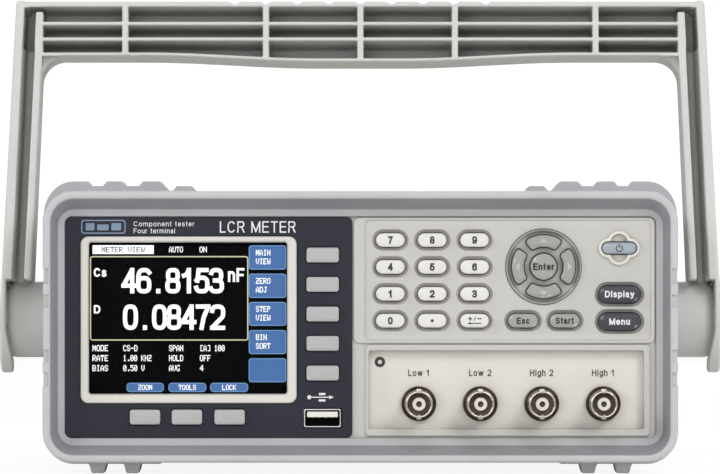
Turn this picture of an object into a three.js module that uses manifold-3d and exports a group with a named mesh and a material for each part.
// Bench LCR meter: a half-rack electronic component tester with rubber bumpers,
// a colour screen, a keypad, four coaxial terminals and a swinging carry handle.
// Millimetres, +Z up, X to the instrument's right as its user faces it, +Y to the rear.
// Origin: centre of the footprint, in the plane the feet rest on.
// A "depth" is measured rearward from the front bumper's lip.
import * as THREE from "three";
import { mergeVertices } from "three/addons/utils/BufferGeometryUtils.js";
import Module from "manifold-3d";

const wasm = await Module();
wasm.setup();

// ---------------------------------------------------------------- driving dimensions
const FRONT_Y = -153.5; // the front bumper's lip
const DEPTH = 309.5; // front lip to rear lip
const BUMPER_HALF_W = 114.45;
const RIM_Z0 = 4.0;
const RIM_Z1 = 101.8;
const RIM_R = 11;
const CASE_HALF_W = 109.4;
const CASE_Z0 = 8.9;
const CASE_Z1 = 97.0;
const SHEET = 1.2; // case sheet thickness
const PANEL_DEPTH = 286.6; // rear panel, inner face
const CASE_END = PANEL_DEPTH - 0.3; // rear edge of cover and tray
const KEY_GAP = 0.3; // clearance of a key in its hole
const HUB_DEPTH = 74.0; // handle axis
const HUB_Z = 54.9;
const BNC_Z = 25.1;
const BNC_X = [0, 1, 2, 3].map((i) => 21.1 + 22.2 * i);
const NAV = { x: 66.1, z: 74.6 }; // centre of the arrow keys
const POWER = { x: 93.4, z: 81.3 }; // power key
const SIDES = [-1, 1]; // left, right

// Bounds are [x0, x1, z0, z1].
const SCREEN = [-101.0, -23.0, 25.3, 85.5]; // outside of the raised surround
const VIEW = [-98.0, -26.5, 28.7, 83.3]; // visible window
const RECESS = [3.0, 102.3, 16.0, 44.3]; // terminal recess
const USB_HOST = [-20.4, -7.0, 16.6, 23.3];

const atDepth = (depth) => FRONT_Y + depth;

// ---------------------------------------------------------------- materials
const finish = (options) => new THREE.MeshStandardMaterial(options);
const materials = {
  bumper: finish({ color: 0xa9a9ae, roughness: 0.75 }),
  handle: finish({ color: 0xd2d3cf, roughness: 0.55 }),
  bezel: finish({ color: 0xc8c5be, roughness: 0.6 }),
  overlay: finish({ color: 0x1b1d28, roughness: 0.35 }),
  surround: finish({ color: 0xdad7d0, roughness: 0.5 }),
  window: finish({ color: 0x20242a, roughness: 0.05, transparent: true, opacity: 0.35 }),
  screen: finish({ color: 0x08090c, roughness: 0.2 }),
  keyWhite: finish({ color: 0xe9e8e2, roughness: 0.5 }),
  keySoft: finish({ color: 0xcfcecb, roughness: 0.55 }),
  keyGrey: finish({ color: 0x9c9b98, roughness: 0.6 }),
  keyDark: finish({ color: 0x4b4c55, roughness: 0.5 }),
  keyPower: finish({ color: 0xb9c3ca, roughness: 0.4 }),
  navRing: finish({ color: 0x8b8a87, roughness: 0.6 }),
  terminalPlate: finish({ color: 0xcbc5ba, roughness: 0.45, metalness: 0.2 }),
  nickel: finish({ color: 0xb5b0a8, roughness: 0.25, metalness: 1 }),
  steel: finish({ color: 0xc4c4c4, roughness: 0.35, metalness: 1 }),
  paint: finish({ color: 0xc4c3bd, roughness: 0.6, metalness: 0.1 }),
  chassis: finish({ color: 0xbdbfc0, roughness: 0.45, metalness: 0.9 }),
  black: finish({ color: 0x161617, roughness: 0.5 }),
  board: finish({ color: 0x1d5a38, roughness: 0.5 }),
  silicone: finish({ color: 0x8d8f92, roughness: 0.8 }),
};

// ---------------------------------------------------------------- outlines, as [u, v] point lists
// Angles are in degrees.
function arc(centreU, centreV, radius, start, end, steps) {
  const points = [];
  for (let i = 0; i <= steps; i++) {
    const angle = ((start + ((end - start) * i) / steps) * Math.PI) / 180;
    points.push([centreU + radius * Math.cos(angle), centreV + radius * Math.sin(angle)]);
  }
  return points;
}
const circle = (centreU, centreV, radius, sides) =>
  arc(centreU, centreV, radius, 0, 360 - 360 / sides, sides - 1);
const rectangle = (x0, x1, z0, z1) => [
  [x0, z0],
  [x1, z0],
  [x1, z1],
  [x0, z1],
];
const roundBox = (x0, x1, z0, z1, radius, steps = 3) => [
  ...arc(x1 - radius, z0 + radius, radius, -90, 0, steps),
  ...arc(x1 - radius, z1 - radius, radius, 0, 90, steps),
  ...arc(x0 + radius, z1 - radius, radius, 90, 180, steps),
  ...arc(x0 + radius, z0 + radius, radius, 180, 270, steps),
];
// A rectangle with half-round ends.
function stadium(x, z, width, height, steps = 5) {
  const radius = height / 2;
  const reach = width / 2 - radius;
  return [
    ...arc(x + reach, z, radius, -90, 90, steps),
    ...arc(x - reach, z, radius, 90, 270, steps),
  ];
}
const mirrored = (points, side) => points.map(([x, z]) => [side * x, z]);
const sideSpan = (side, near, far) => (side > 0 ? [near, far] : [-far, -near]);
const grow = ([x0, x1, z0, z1], margin) => [x0 - margin, x1 + margin, z0 - margin, z1 + margin];
const around = ({ x, z }, halfW, halfH) => [x - halfW, x + halfW, z - halfH, z + halfH];

// ---------------------------------------------------------------- solids
const toVectors = (points) => points.map(([u, v]) => new THREE.Vector2(u, v));
function extrude(outline, holes, depth) {
  const shape = new THREE.Shape(toVectors(outline));
  for (const hole of holes) shape.holes.push(new THREE.Path(toVectors(hole)));
  return new THREE.ExtrudeGeometry(shape, { depth, bevelEnabled: false });
}
// Outline in X and Z, thickness from y0 to y1.
const alongY = (outline, y0, y1, holes = []) =>
  extrude(outline, holes, y1 - y0)
    .rotateX(Math.PI / 2)
    .translate(0, y1, 0);
// The same, between two depths.
const slab = (outline, front, back, holes) =>
  alongY(outline, atDepth(front), atDepth(back), holes);
// Outline in Y and Z, thickness from x0 to x1.
const alongX = (outline, x0, x1) =>
  extrude(outline, [], x1 - x0)
    .applyMatrix4(
      new THREE.Matrix4().makeBasis(
        new THREE.Vector3(0, 1, 0),
        new THREE.Vector3(0, 0, 1),
        new THREE.Vector3(1, 0, 0),
      ),
    )
    .translate(x0, 0, 0);
const block = ([x0, x1, z0, z1], front, back) =>
  new THREE.BoxGeometry(x1 - x0, back - front, z1 - z0).translate(
    (x0 + x1) / 2,
    atDepth((front + back) / 2),
    (z0 + z1) / 2,
  );
// A body turned about a line along Y. Profile rows are [radius, depth], front end first.
const turned = (profile, x, z, segments) =>
  new THREE.LatheGeometry(
    toVectors(profile.map(([radius, depth]) => [radius, atDepth(depth)])),
    segments,
  ).translate(x, 0, z);
// An upright eight-sided rod.
const uprightRod = (radius, length, x, depth, z) =>
  new THREE.CylinderGeometry(radius, radius, length, 8)
    .rotateX(Math.PI / 2)
    .translate(x, atDepth(depth), z);

// A closed frame: rings of equal length, each joined to the next and the last to the first.
// The first two rings lie on the outside; their order in Y decides which way faces turn.
function frameOf(rings) {
  const count = rings[0].length;
  const rearward = rings[1][0][1] > rings[0][0][1];
  const index = [];
  for (let i = 0; i < rings.length; i++)
    for (let j = 0; j < count; j++) {
      const nextRing = ((i + 1) % rings.length) * count;
      const nextPoint = (j + 1) % count;
      const a = i * count + j;
      const b = i * count + nextPoint;
      const c = nextRing + nextPoint;
      const d = nextRing + j;
      index.push(...(rearward ? [a, c, b, a, d, c] : [a, b, c, a, c, d]));
    }
  return new THREE.BufferGeometry()
    .setAttribute("position", new THREE.Float32BufferAttribute(rings.flat(2), 3))
    .setIndex(index);
}
const ring = (bounds, radius, depth, steps) =>
  roundBox(...bounds, radius, steps).map(([x, z]) => [x, atDepth(depth), z]);

// Joining and cutting, on geometries or solids.
function solid(shape) {
  if (!shape.isBufferGeometry) return shape;
  const bare = new THREE.BufferGeometry()
    .setAttribute("position", shape.attributes.position)
    .setIndex(shape.index);
  const merged = mergeVertices(bare, 1e-4);
  return new wasm.Manifold(
    new wasm.Mesh({
      numProp: 3,
      vertProperties: merged.attributes.position.array,
      triVerts: new Uint32Array(merged.index.array),
    }),
  );
}
const join = (...parts) => parts.map(solid).reduce((whole, part) => whole.add(part));
const cut = (body, ...tools) =>
  tools.map(solid).reduce((rest, tool) => rest.subtract(tool), solid(body));
const meet = (a, b) => solid(a).intersect(solid(b));
function toGeometry(shape) {
  if (shape.isBufferGeometry) return shape;
  const { vertProperties, triVerts } = shape.getMesh();
  return new THREE.BufferGeometry()
    .setAttribute("position", new THREE.Float32BufferAttribute(vertProperties, 3))
    .setIndex(new THREE.Uint32BufferAttribute(triVerts, 1));
}

const root = new THREE.Group();
function add(name, shape, material, parent = root) {
  const geometry = toGeometry(shape);
  geometry.computeVertexNormals();
  const mesh = new THREE.Mesh(geometry, material);
  mesh.name = name;
  parent.add(mesh);
}

// ---------------------------------------------------------------- bumpers
const BUMP_TOP = 105.4; // castellations on the top corners
const BUMP_LOW = 103.7;
const BUMP_FOOT = RIM_Z1 - 0.1; // where a castellation leaves the rim
const BUMP_ROOT = RIM_Z1 - 2.2; // sunk into the rim
const BUMP_CORNER_R = 11.9;
const FRONT_BUMPER_END = 38;
const REAR_BUMPER_START = 272;

// Castellations for one top corner. A spread above 1 moves the steps outwards,
// so that the last one dies into the rounded corner.
function topBumps(side, front, back, spread = 1) {
  const dying = spread > 1;
  const spreadOut = (points) => points.map(([x, z]) => [x * spread, z]);
  const lastStep = dying
    ? [[97.3 * spread, BUMP_LOW - 0.4]]
    : [
        [98.4, BUMP_TOP],
        [97.3, BUMP_LOW],
      ];
  const corner = [
    [69.3 * spread, BUMP_ROOT],
    [104, BUMP_ROOT],
    [111.2, 92.5],
    [112.0, 88],
    [BUMPER_HALF_W, 89],
    ...arc(BUMPER_HALF_W - BUMP_CORNER_R, 93.5, BUMP_CORNER_R, 0, dying ? 66 : 90, 5),
    ...lastStep,
    ...spreadOut([
      [92.8, BUMP_LOW],
      [91.6, BUMP_TOP],
      [86.0, BUMP_TOP],
      [84.6, BUMP_LOW],
      [79.8, BUMP_LOW],
      [78.6, BUMP_TOP],
      [72.3, BUMP_TOP],
      [69.3, BUMP_FOOT],
    ]),
  ];
  const innermost = spreadOut([
    [59.4, BUMP_ROOT],
    [67.5, BUMP_ROOT],
    [67.5, BUMP_FOOT],
    [66.4, BUMP_LOW],
    [61.0, BUMP_LOW],
    [59.4, BUMP_FOOT],
  ]);
  return [corner, innermost].map((points) => slab(mirrored(points, side), front, back));
}

// Two narrow feet and the wide pad that carries them.
function feet(side, front, back) {
  const top = RIM_Z0 + 1.5;
  const flare = 0.8;
  const pad = [
    [71.4, top],
    [72.4, 3.4],
    [104, 3.4],
    [106, top],
  ];
  const narrow = [
    [92.5, 97.1],
    [80.0, 84.5],
  ].map(([x0, x1]) => [
    [x0, 0],
    [x1, 0],
    [x1 + flare, top],
    [x0 - flare, top],
  ]);
  return [
    ...narrow.map((points) => slab(mirrored(points, side), front, back)),
    slab(mirrored(pad, side), front - 1, back + 1),
  ];
}

// Bumper ring rows are [half width, z0, z1, corner radius, depth].
const rim = (depth, inset = 0) => [
  BUMPER_HALF_W - inset,
  RIM_Z0 + inset,
  RIM_Z1 - inset,
  RIM_R - inset,
  depth,
];
const bore = (depth) => [109.8, 8.4, 97.5, 6.5, depth]; // fits round the case
const bumperFrame = (rows) =>
  frameOf(
    rows.map(([halfW, z0, z1, radius, depth]) =>
      ring([-halfW, halfW, z0, z1], radius, depth, 5),
    ),
  );

// Four short notches in the lip at each side, level with the handle: [z0, z1].
const NOTCHES = [
  [31.6, 36.4],
  [40.2, 44.6],
  [60.0, 64.4],
  [68.6, 73.8],
];
add(
  "front_bumper",
  cut(
    join(
      bumperFrame([
        rim(FRONT_BUMPER_END),
        rim(1.6),
        rim(0.4, 0.5),
        rim(0, 1.3),
        [111.9, 6.5, 99.2, 8.6, 0.4],
        [109.2, 10.1, 95.3, 6.2, 5.8],
        [106.8, 12.6, 92.8, 2.6, 6.9],
        [106.8, 12.6, 92.8, 2.6, 8.0],
        bore(8.0),
        bore(FRONT_BUMPER_END),
      ]),
      ...SIDES.flatMap((side) => [...topBumps(side, 7, 35), ...feet(side, 8, 34)]),
    ),
    ...SIDES.flatMap((side) =>
      NOTCHES.map((heights) => block([...sideSpan(side, 113, 116), ...heights], -2, 9)),
    ),
  ),
  materials.bumper,
);
add(
  "rear_bumper",
  join(
    bumperFrame([
      rim(REAR_BUMPER_START),
      rim(DEPTH - 1.6),
      rim(DEPTH, 1.3),
      [111.4, 6.9, 98.9, 8.2, DEPTH - 0.5],
      [107.5, 10.9, 94.9, 5.2, 297],
      [106.0, 12.4, 93.4, 4.0, 289.4],
      bore(288.8),
      bore(REAR_BUMPER_START),
    ]),
    ...SIDES.flatMap((side) => [...topBumps(side, 275, 302, 1.09), ...feet(side, 276, 301)]),
  ),
  materials.bumper,
);

// ---------------------------------------------------------------- sheet-metal case
// Top and two sides, rounded at the top corners, with two rows of side slots.
function topCover() {
  const bottom = 15.4;
  const radius = 6;
  const cornerX = CASE_HALF_W - radius;
  const cornerZ = CASE_Z1 - radius;
  const section = [
    [CASE_HALF_W, bottom],
    ...arc(cornerX, cornerZ, radius, 0, 90, 6),
    ...arc(-cornerX, cornerZ, radius, 90, 180, 6),
    [-CASE_HALF_W, bottom],
    [-CASE_HALF_W + SHEET, bottom],
    ...arc(-cornerX, cornerZ, radius - SHEET, 180, 90, 6),
    ...arc(cornerX, cornerZ, radius - SHEET, 90, 0, 6),
    [CASE_HALF_W - SHEET, bottom],
  ];
  const slots = [];
  for (let i = 0; i < 9; i++) {
    const front = 178 + i * 9;
    slots.push(block([-115, 115, 30, 50], front, front + 3));
    slots.push(block([-115, 115, 58, 78], front, front + 3));
  }
  return cut(slab(section, 11.7, CASE_END), ...slots);
}
add("top_cover", topCover(), materials.paint);

// The bottom tray: its rounded sides stand inside the cover, with slots underneath.
function bottomChassis() {
  const half = CASE_HALF_W - SHEET - 0.3;
  const top = 29;
  const radius = 5;
  const cornerX = half - radius;
  const cornerZ = CASE_Z0 + radius;
  const section = [
    [-half, top],
    ...arc(-cornerX, cornerZ, radius, 180, 270, 3),
    ...arc(cornerX, cornerZ, radius, 270, 360, 3),
    [half, top],
    [half - SHEET, top],
    ...arc(cornerX, cornerZ, radius - SHEET, 0, -90, 3),
    ...arc(-cornerX, cornerZ, radius - SHEET, -90, -180, 3),
    [-half + SHEET, top],
  ];
  const slots = [];
  for (let i = 0; i < 7; i++) slots.push(block([-70 + i * 20, -60 + i * 20, 5, 12], 150, 190));
  const frontLip = block([-100, 100, CASE_Z0 + 0.5, 16], 25.4, 26.6);
  return cut(join(slab(section, 24.6, CASE_END), frontLip), ...slots);
}
add("bottom_chassis", bottomChassis(), materials.chassis);

// ---------------------------------------------------------------- keys
// Each key is a cap that stands through its hole and a wider flange behind the plate.
const KEY_BACK = 14.3; // back of every key's flange
const FLANGE_RIM = 0.7;
const SOFT_X = -13.6;
const SOFT_Z = [78.8, 68.2, 57.5, 46.9, 36.2];
const MENU_X = [-77.7, -62.6, -47.2];
const MENU_Z = 20.3;
const NUMBER_X = [10.8, 25.9, 41.2];
const NUMBER_TOP_Z = 84.2;
const NUMBER_PITCH_Z = 9.7;
const NUMBER_NAMES = [
  ["seven", "eight", "nine"],
  ["four", "five", "six"],
  ["one", "two", "three"],
  ["zero", "point", "sign"],
];
const { keyWhite, keySoft, keyGrey, keyDark, keyPower } = materials;
// Key rows are [name, x, z, width, height, front depth, material].
const PILL_KEYS = [
  ["esc_key", 58.7, 55.1, 10.8, 5.0, 6.0, keyGrey],
  ["trigger_key", 73.7, 55.1, 10.8, 5.0, 6.0, keyGrey],
  ["measure_key", 93.5, 64.6, 15.1, 6.2, 5.9, keyDark],
  ["setup_key", 93.5, 54.8, 15.1, 6.2, 5.9, keyDark],
  ["power_key", POWER.x, POWER.z, 12.4, 4.1, 6.2, keyPower],
  ...NUMBER_NAMES.flatMap((names, row) =>
    names.map((name, column) => [
      name + "_key",
      NUMBER_X[column],
      NUMBER_TOP_Z - NUMBER_PITCH_Z * row,
      10.4,
      5.0,
      6.0,
      keyWhite,
    ]),
  ),
];
const BAR_KEYS = [
  ...SOFT_Z.map((z, i) => ["soft_key_" + (i + 1), SOFT_X, z, 11.7, 5.4, 5.9, keySoft]),
  ...MENU_X.map((x, i) => ["menu_key_" + (i + 1), x, MENU_Z, 11.0, 5.4, 5.9, keySoft]),
];
const pill = ([, x, z, width, height], margin, steps = 5) =>
  stadium(x, z, width + 2 * margin, height + 2 * margin, steps);
const barBounds = ([, x, z, width, height], margin) =>
  grow(around({ x, z }, width / 2, height / 2), margin);
const bar = (row, margin) => roundBox(...barBounds(row, margin), 1.0, 2);

function addKey(name, cap, flange, front, material, flangeFront = 12.0) {
  const shape = join(slab(cap, front, flangeFront + 0.2), slab(flange, flangeFront, KEY_BACK));
  add(name, shape, material);
}
for (const row of PILL_KEYS) {
  const [name, , , , , front, material] = row;
  addKey(name, pill(row, 0), pill(row, FLANGE_RIM, 4), front, material);
}
for (const row of BAR_KEYS) {
  const [name, , , , , front, material] = row;
  addKey(name, bar(row, 0), rectangle(...barBounds(row, FLANGE_RIM)), front, material);
}

// Arrow keys are pieces of a ring round the enter key.
const ARROWS = { up: 90, right: 0, down: 270, left: 180 }; // angle of each key's middle
const ARROW_R0 = 6.8;
const ARROW_R1 = 11.6;
const ENTER_R = 4.7;
const NAV_FLANGE_FRONT = 10.9;
const navCircle = (radius, sides) => circle(NAV.x, NAV.z, radius, sides);
const navSector = (r0, r1, middle, halfAngle, steps) => [
  ...arc(NAV.x, NAV.z, r1, middle - halfAngle, middle + halfAngle, steps),
  ...arc(NAV.x, NAV.z, r0, middle + halfAngle, middle - halfAngle, steps),
];
for (const [name, angle] of Object.entries(ARROWS))
  addKey(
    name + "_arrow_key",
    navSector(ARROW_R0, ARROW_R1, angle, 36, 6),
    navSector(6.3, 12.0, angle, 39, 5),
    5.7,
    keyGrey,
    NAV_FLANGE_FRONT,
  );
addKey("enter_key", navCircle(ENTER_R, 20), navCircle(5.5, 16), 5.5, keyGrey, NAV_FLANGE_FRONT);

// The dished ring that the arrow keys stand in: perforated floor, wall and rear flange.
const navHoles = Object.values(ARROWS).map((angle) =>
  navSector(ARROW_R0 - KEY_GAP, ARROW_R1 + KEY_GAP, angle, 38.6, 6),
);
navHoles.push(navCircle(ENTER_R + KEY_GAP, 20));
const navBore = [navCircle(12.4, 32)];
add(
  "nav_ring",
  join(
    slab(navCircle(12.9, 32), 9.0, 10.5, navHoles),
    slab(navCircle(13.4, 32), 7.0, 11.7, navBore),
    slab(navCircle(15.0, 32), 11.6, 12.7, navBore),
  ),
  materials.navRing,
);

// ---------------------------------------------------------------- front bezel, overlay, screen
const PLATE_FRONT = 8.3;
const PLATE_BACK = 11.3;
const FIELD_BACK = 9; // raised fields run back into the plate to here
const TERMINAL_FIELD_FRONT = 7.5;
const KEYPAD_FRONT = 8.0; // keypad field, sunk inside its rim
const KEYPAD_RIM_FRONT = 7.4;
const THROUGH = [5, 12]; // depths of a cut right through the plate

const displayHoles = [
  roundBox(...grow(SCREEN, 0.2), 2.5, 3),
  ...BAR_KEYS.map((row) => bar(row, KEY_GAP)),
  rectangle(...grow(USB_HOST, 0.3)),
];
const keypadRimHole = roundBox(1.7, 104.6, 48.1, 91.2, 1.6);
const skirtHole = roundBox(-104.1, 104.1, 13.8, 92.3, 1.0, 2);
add(
  "front_bezel",
  cut(
    join(
      slab(
        roundBox(-109.2, 109.2, 8.9, 96.9, 5.5, 4),
        PLATE_FRONT,
        PLATE_BACK,
        displayHoles,
      ),
      slab(
        roundBox(-2.4, 106.3, 46.95, 92.3, 1.8),
        KEYPAD_RIM_FRONT,
        FIELD_BACK,
        [keypadRimHole],
      ),
      slab(roundBox(1.5, 104.8, 47.9, 91.4, 1.6), KEYPAD_FRONT, FIELD_BACK),
      slab(roundBox(1.7, 104.6, 13.3, 46.5, 1.6), TERMINAL_FIELD_FRONT, FIELD_BACK),
      // collar round the power key
      slab(stadium(POWER.x, POWER.z, 14.8, 6.4, 6), 6.7, 8.6),
      slab(circle(POWER.x, POWER.z, 6.3, 24), 6.7, 8.6),
      // skirt that slides into the case
      slab(roundBox(-106.0, 106.0, 11.9, 94.2, 4), 11, 24.2, [skirtHole]),
    ),
    ...PILL_KEYS.map((row) => slab(pill(row, KEY_GAP), ...THROUGH)),
    slab(navCircle(13.7, 32), ...THROUGH),
    slab(roundBox(...RECESS, 0.8, 2), ...THROUGH),
  ),
  materials.bezel,
);

add(
  "display_overlay",
  slab(roundBox(-106.5, -2.9, 12.9, 92.5, 2.0), 7.6, 8.15, displayHoles),
  materials.overlay,
);

// Rows are [bounds, margin added to them, corner radius, depth].
const SURROUND_RINGS = [
  [SCREEN, 0, 2.8, 10.4],
  [SCREEN, 0, 2.8, 7.2],
  [SCREEN, -0.6, 2.3, 6.8],
  [VIEW, 0.5, 1.3, 7.6],
  [VIEW, 0, 1.0, 8.6],
  [VIEW, 0, 1.0, 9.2],
  [SCREEN, -0.9, 2.0, 9.2],
  [SCREEN, -0.9, 2.0, 10.4],
];
add(
  "screen_surround",
  frameOf(
    SURROUND_RINGS.map(([bounds, margin, radius, depth]) =>
      ring(grow(bounds, margin), radius, depth, 3),
    ),
  ),
  materials.surround,
);
add("screen_window", slab(rectangle(...grow(SCREEN, -1.8)), 9.35, 10.35), materials.window);
add(
  "lcd_module",
  join(block(grow(SCREEN, -1.2), 10.6, 14.4), block([-80, -44, 40, 70], 14.2, 15.6)),
  materials.screen,
);

// ---------------------------------------------------------------- key mat and front board
const MAT_FRONT = 16.0;
const BOARD_FRONT = 17.1;
const BOARD_THICKNESS = 1.6;
// Outlines as [x, z]; both step round the USB host socket.
const MAT_OUTLINE = [
  [-85, 15.5], [-21.5, 15.5], [-21.5, 24.3], [-4, 24.3], [-4, 47.8],
  [103, 47.8], [103, 91.5], [-23.5, 91.5], [-23.5, 24.9], [-85, 24.9],
];
const FRONT_BOARD_OUTLINE = [
  [-103.6, 14.3], [-21.2, 14.3], [-21.2, 24.2], [-6.2, 24.2],
  [-6.2, 14.3], [103.6, 14.3], [103.6, 91.8], [-103.6, 91.8],
];
const jackHoles = (radius) => BNC_X.map((x) => circle(x, BNC_Z, radius, 16));
add("key_mat", slab(MAT_OUTLINE, MAT_FRONT, MAT_FRONT + 0.9), materials.silicone);
add(
  "front_board",
  slab(FRONT_BOARD_OUTLINE, BOARD_FRONT, BOARD_FRONT + BOARD_THICKNESS, jackHoles(5.6)),
  materials.board,
);

// ---------------------------------------------------------------- terminals
add(
  "terminal_plate",
  slab(rectangle(1.2, 103.4, 14.5, 46.4), 11.5, 13.0, jackHoles(5.0)),
  materials.terminalPlate,
);

// [radius, depth]: centre contact, insulator, barrel, flange, threaded tail and rear pin.
const JACK_PROFILE = [
  [0, 4], [0.75, 4], [0.75, -0.6], [2.4, -0.6],
  [2.4, 6], [4.1, 6], [4.1, -2.5], [4.85, -2.5],
  [4.85, 9.2], [6.3, 9.2], [6.3, 11.25], [4.6, 11.25],
  [4.6, 20], [1.2, 20], [1.2, 24], [0, 24],
];
// Keeps the lugs' rod out of the barrel.
const LUG_CLEARANCE = [
  [0, -1.5], [4.4, -1.5], [4.4, 3], [0, 3],
];
// A bayonet jack: turned body, two lugs on the barrel, and a nut behind the plate.
function bayonetJack(x) {
  const lugs = cut(uprightRod(1.0, 11.4, x, 0.9, BNC_Z), turned(LUG_CLEARANCE, x, BNC_Z, 12));
  const nut = slab(circle(x, BNC_Z, 6.6, 6), 13.1, 15.4);
  return join(turned(JACK_PROFILE, x, BNC_Z, 18), lugs, nut);
}
["l_force", "l_sense", "h_sense", "h_force"].forEach((name, i) =>
  add("bnc_" + name, bayonetJack(BNC_X[i]), materials.nickel),
);

// USB host socket: a steel shell with its contact tongue.
const [USB_X0, USB_X1] = USB_HOST;
add(
  "usb_host_port",
  join(
    cut(block(USB_HOST, 7.0, 21), block(grow(USB_HOST, -0.5), 6, 16.5)),
    block([USB_X0 + 1.2, USB_X1 - 1.2, 20.3, 22.2], 8.2, 17),
  ),
  materials.steel,
);

// ---------------------------------------------------------------- rear panel and its connectors
const INLET = { x: 75, z: 46 };
const FUSE = { x: INLET.x, z: 33 };
const SERIAL = { x: 12, z: 34 };
const HANDLER = { x: -48, z: 34 };
const GROUND = { x: 46, z: 24 };
const USB_DEVICE = { x: 36, z: 40 };

const panelCuts = [
  rectangle(...around(INLET, 14.4, 24.4)),
  rectangle(...around(SERIAL, 9.3, 5.0)),
  rectangle(...around(HANDLER, 25.3, 5.8)),
  rectangle(...around(USB_DEVICE, 6.4, 6.1)),
  circle(GROUND.x, GROUND.z, 2.4, 12),
];
// A row of upright slots.
for (let i = 0; i < 12; i++) panelCuts.push(rectangle(-84 + i * 10, -78 + i * 10, 60, 84));
add(
  "rear_panel",
  cut(
    slab(roundBox(-109.1, 109.1, 9.0, 96.9, 5.5), PANEL_DEPTH, PANEL_DEPTH + 1.6),
    ...panelCuts.map((outline) => slab(outline, 285, 290)),
  ),
  materials.paint,
);

// Mains inlet module: three blades in a shaped cavity, with a slot below for the fuse drawer.
// Both tables are [x, z] from the module's centre.
const INLET_CAVITY = [
  [-12, 3], [12, 3], [12, 15], [7, 20], [-7, 20], [-12, 15],
];
const BLADES = [
  [0, 16.5], [-7, 9.5], [7, 9.5],
];
const fromInlet = ([x, z]) => [INLET.x + x, INLET.z + z];
add(
  "power_inlet",
  join(
    cut(
      join(
        block(around(INLET, 14, 24), 262, 289),
        slab(roundBox(...around(INLET, 17, 27), 2.5, 2), 288.5, 290.6),
      ),
      slab(INLET_CAVITY.map(fromInlet), 271, 292),
      block(around(FUSE, 10.3, 8.3), 265, 292),
    ),
    ...BLADES.map(fromInlet).map(([x, z]) => block(around({ x, z }, 1, 2), 268, 285)),
  ),
  materials.black,
);
add(
  "fuse_drawer",
  join(
    block(around(FUSE, 9.9, 7.9), 266, 290.8),
    block(around(FUSE, 10.9, 8.9), 290.8, 292.6),
    block([FUSE.x - 3, FUSE.x + 3, FUSE.z + 5.6, FUSE.z + 8], 292.5, 293.8),
  ),
  materials.black,
);

// A D-shaped connector shell with its flange, hollow from its rear end.
function dConnector({ at, halfW, halfH, lean, wall, back, cavityFront, flange, flangeBack }) {
  const outline = (inset) => {
    const [x0, x1, z0, z1] = around(at, halfW - inset, halfH - inset);
    return [
      [x0 + lean, z0],
      [x1 - lean, z0],
      [x1, z1],
      [x0, z1],
    ];
  };
  const flangeOutline = roundBox(...around(at, flange.halfW, flange.halfH), flange.radius, 2);
  return cut(
    join(slab(outline(0), 276, back), slab(flangeOutline, 288.4, flangeBack)),
    slab(outline(wall), cavityFront, back + 1),
  );
}
add(
  "serial_port",
  dConnector({
    at: SERIAL,
    halfW: 8.7,
    halfH: 4.2,
    lean: 1.2,
    wall: 0.5,
    back: 294,
    cavityFront: 289,
    flange: { halfW: 15.4, halfH: 6.2, radius: 1.5 },
    flangeBack: 289.4,
  }),
  materials.steel,
);
add(
  "handler_port",
  join(
    dConnector({
      at: HANDLER,
      halfW: 24.5,
      halfH: 5.2,
      lean: 1.5,
      wall: 0.6,
      back: 296,
      cavityFront: 287,
      flange: { halfW: 33.5, halfH: 7.6, radius: 2 },
      flangeBack: 289.6,
    }),
    block(around(HANDLER, 21.5, 1.5), 286, 295),
  ),
  materials.steel,
);

// Square USB device socket: shell and contact block.
add(
  "usb_device_port",
  join(
    cut(
      block(around(USB_DEVICE, 6.0, 5.7), 276, 289.6),
      block(around(USB_DEVICE, 5.3, 5.0), 280, 291),
    ),
    block(around(USB_DEVICE, 2.8, 1.6), 279, 288.6),
  ),
  materials.steel,
);

// [radius, depth]
const GROUND_PROFILE = [
  [0, 280], [2.0, 280], [2.0, 288.5], [4.8, 288.5],
  [4.8, 290], [3.9, 290.4], [3.9, 297.5], [0, 297.5],
];
add("ground_terminal", turned(GROUND_PROFILE, GROUND.x, GROUND.z, 16), materials.nickel);

// ---------------------------------------------------------------- inside
// A level board on four posts. Component rows are [x0, x1, front, back, top z].
function levelBoard([x0, x1], [front, back], postInsetX, postInsetDepth, components) {
  const boardZ = 18;
  const postZ0 = 10.4;
  const postZ1 = boardZ + 0.4;
  const posts = [x0 + postInsetX, x1 - postInsetX].flatMap((x) =>
    [front + postInsetDepth, back - postInsetDepth].map((depth) =>
      uprightRod(3, postZ1 - postZ0, x, depth, (postZ1 + postZ0) / 2),
    ),
  );
  return join(
    block([x0, x1, boardZ, boardZ + BOARD_THICKNESS], front, back),
    ...posts,
    ...components.map(([left, right, near, far, top]) =>
      block([left, right, boardZ + 1, top], near, far),
    ),
  );
}
add(
  "main_board",
  levelBoard([-98, 28], [40, 272], 6, 8, [
    [-60, -32, 90, 118, 22.5],
    [-20, -4, 70, 92, 29],
    [2, 18, 70, 92, 29],
    [-86, -70, 70, 110, 34],
    [-84, -56, 150, 158, 44],
    [-10, 14, 150, 176, 23],
  ]),
  materials.board,
);
add(
  "power_supply",
  levelBoard([34, 100], [140, 256], 6, 6, [
    [52, 84, 180, 216, 50],
    [60, 76, 150, 172, 44],
    [42, 48, 170, 222, 46],
    [58, 82, 228, 246, 40],
  ]),
  materials.board,
);

// ---------------------------------------------------------------- handle pivots
// A base plate on the case side, and the pin the handle's hub turns on.
function pivot(side) {
  const round = (radius, sides) => circle(atDepth(HUB_DEPTH), HUB_Z, radius, sides);
  return join(
    alongX(round(15.5, 28), ...sideSpan(side, 109.6, 111.4)),
    alongX(round(8.0, 24), ...sideSpan(side, 111.0, 124.5)),
  );
}
add("left_pivot", pivot(-1), materials.handle);
add("right_pivot", pivot(1), materials.handle);

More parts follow.
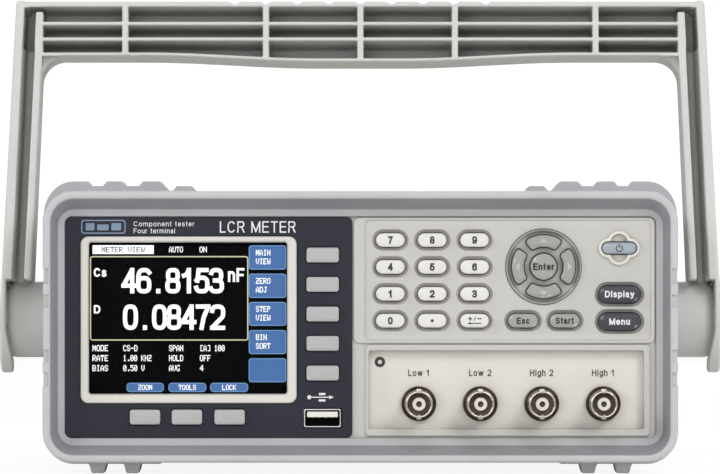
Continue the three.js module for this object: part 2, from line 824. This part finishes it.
// ---------------------------------------------------------------- handle
// Handle coordinates: x across, y rearward and z up, from the hub axis, before it leans back.
const HANDLE_TILT = 4.5; // degrees
const HUB_R = 13.9;
const ARM_R = 19.5;
const SOCKET_R = 8.5;
const ARM_END = -22; // just below the arms' round ends
const GRIP_TOP = 116.6;
const SHOULDER = 115.6; // height at which the shoulders' width is taken
const FILLET_R = 7; // between arm and grip
const GRIP_WALL = 2.6; // rear wall left behind the grip's pockets
const ARM_WALL = 6; // and behind the arms'
const REACH_X = 140; // beyond the handle each way
const REACH_Y = 30;

// Half widths over the arms' outer and inner faces, which lean in with height.
const outer = (height) => 132.3 + ((126.7 - 132.3) * Math.max(0, height)) / 117;
const inner = (height) => 121.3 + ((117.1 - 121.3) * height) / 97;
// Underside of the grip: level at the ends, bellied at the middle.
function gripUnderside(x) {
  const blend = Math.min(1, Math.max(0, (78 - Math.abs(x)) / 62));
  return 96.3 - 2.2 * blend * blend * (3 - 2 * blend);
}

// Seen from the front.
function frontOutline() {
  const belly = [];
  for (let x = -96; x <= 96; x += 16) belly.push([x, gripUnderside(x)]);
  const edge = GRIP_TOP + 0.4;
  const right = [
    ...arc(inner(90) - FILLET_R, gripUnderside(100) - FILLET_R, FILLET_R, 90, 0, 4),
    [inner(ARM_END), ARM_END],
    [outer(ARM_END), ARM_END],
    [outer(SHOULDER), 116.0],
    [outer(SHOULDER) - 1.2, edge],
    [124.0, edge],
    [123.6, GRIP_TOP],
  ];
  return [...belly, ...right, ...mirrored(right, -1).reverse()];
}

// An [x, z] outline trimmed to the handle's side profile, moved forward by a wall thickness.
function withinProfile(outline, wall = 0) {
  const profile = [
    [-12 - wall, 120],
    ...arc(-wall, 0, ARM_R, 176.4, 363.6, 14),
    [12 - wall, 120],
  ];
  return meet(alongY(outline, -REACH_Y, REACH_Y), alongX(profile, -REACH_X, REACH_X));
}

// Moulding pockets in the grip, open at the front, in three rows between upright ribs.
function gripPockets() {
  const ribs = [-117.2, -86.6, -34.8, 0, 34.8, 86.6, 117.2];
  const halfRib = 1.1;
  const upperRows = [
    [109.0, 114.7],
    [103.2, 107.8],
  ];
  const lowestTop = 102.0;
  const aboveUnderside = (x) => [x, gripUnderside(x) + 1.3];
  const last = ribs.length - 2;
  return ribs.slice(0, -1).flatMap((rib, i) => {
    const x0 = rib + (i === 0 ? 0 : halfRib);
    const x1 = ribs[i + 1] - (i === last ? 0 : halfRib);
    const lowest = [
      ...[x0, (x0 + x1) / 2, x1].map(aboveUnderside),
      [x1, lowestTop],
      [x0, lowestTop],
    ];
    const outlines = [...upperRows.map(([z0, z1]) => rectangle(x0, x1, z0, z1)), lowest];
    return outlines.map((outline) => withinProfile(outline, GRIP_WALL));
  });
}

// One long pocket up each arm, and a shallower-walled one at its corner with the grip.
function armPockets(side) {
  const armPocket = (z0, z1, topInset, wall) => {
    const outline = [
      [inner(z0) + 3.0, z0],
      [outer(z0) - 2.6, z0],
      [outer(z1) - 3.0, z1],
      [inner(z1) + topInset, z1],
    ];
    return withinProfile(mirrored(outline, side), wall);
  };
  return [armPocket(10, 99.4, 3.0, ARM_WALL), armPocket(99.4, 114.2, 2.6, GRIP_WALL)];
}

// Nine grooves across the top of the grip.
function gripFlutes() {
  const flutes = [];
  for (let i = -4; i <= 4; i++) {
    const x = i * 11.55;
    const outline = [
      [x - 0.8, GRIP_TOP - 0.8],
      [x + 0.8, GRIP_TOP - 0.8],
      [x + 2.0, GRIP_TOP + 0.6],
      [x - 2.0, GRIP_TOP + 0.6],
    ];
    flutes.push(alongY(outline, -20, 20));
  }
  return flutes;
}

// Each arm ends in a thin round flange, with the narrower hub between it and the case.
const onBothSides = (outline, near, far) =>
  SIDES.map((side) => alongX(outline, ...sideSpan(side, near, far)));
const handle = cut(
  join(
    cut(
      withinProfile(frontOutline()),
      ...gripPockets(),
      ...SIDES.flatMap(armPockets),
      ...onBothSides(rectangle(-30, 30, -30, 12.5), 110, 129),
    ),
    ...onBothSides(circle(0, 0, HUB_R, 32), 111.9, 130),
  ),
  ...gripFlutes(),
  ...onBothSides(circle(0, 0, SOCKET_R, 24), 111, 125),
);
const handleGroup = new THREE.Group();
handleGroup.position.set(0, atDepth(HUB_DEPTH), HUB_Z);
handleGroup.rotation.x = (-HANDLE_TILT * Math.PI) / 180;
root.add(handleGroup);
add("handle", handle, materials.handle, handleGroup);

export default root;
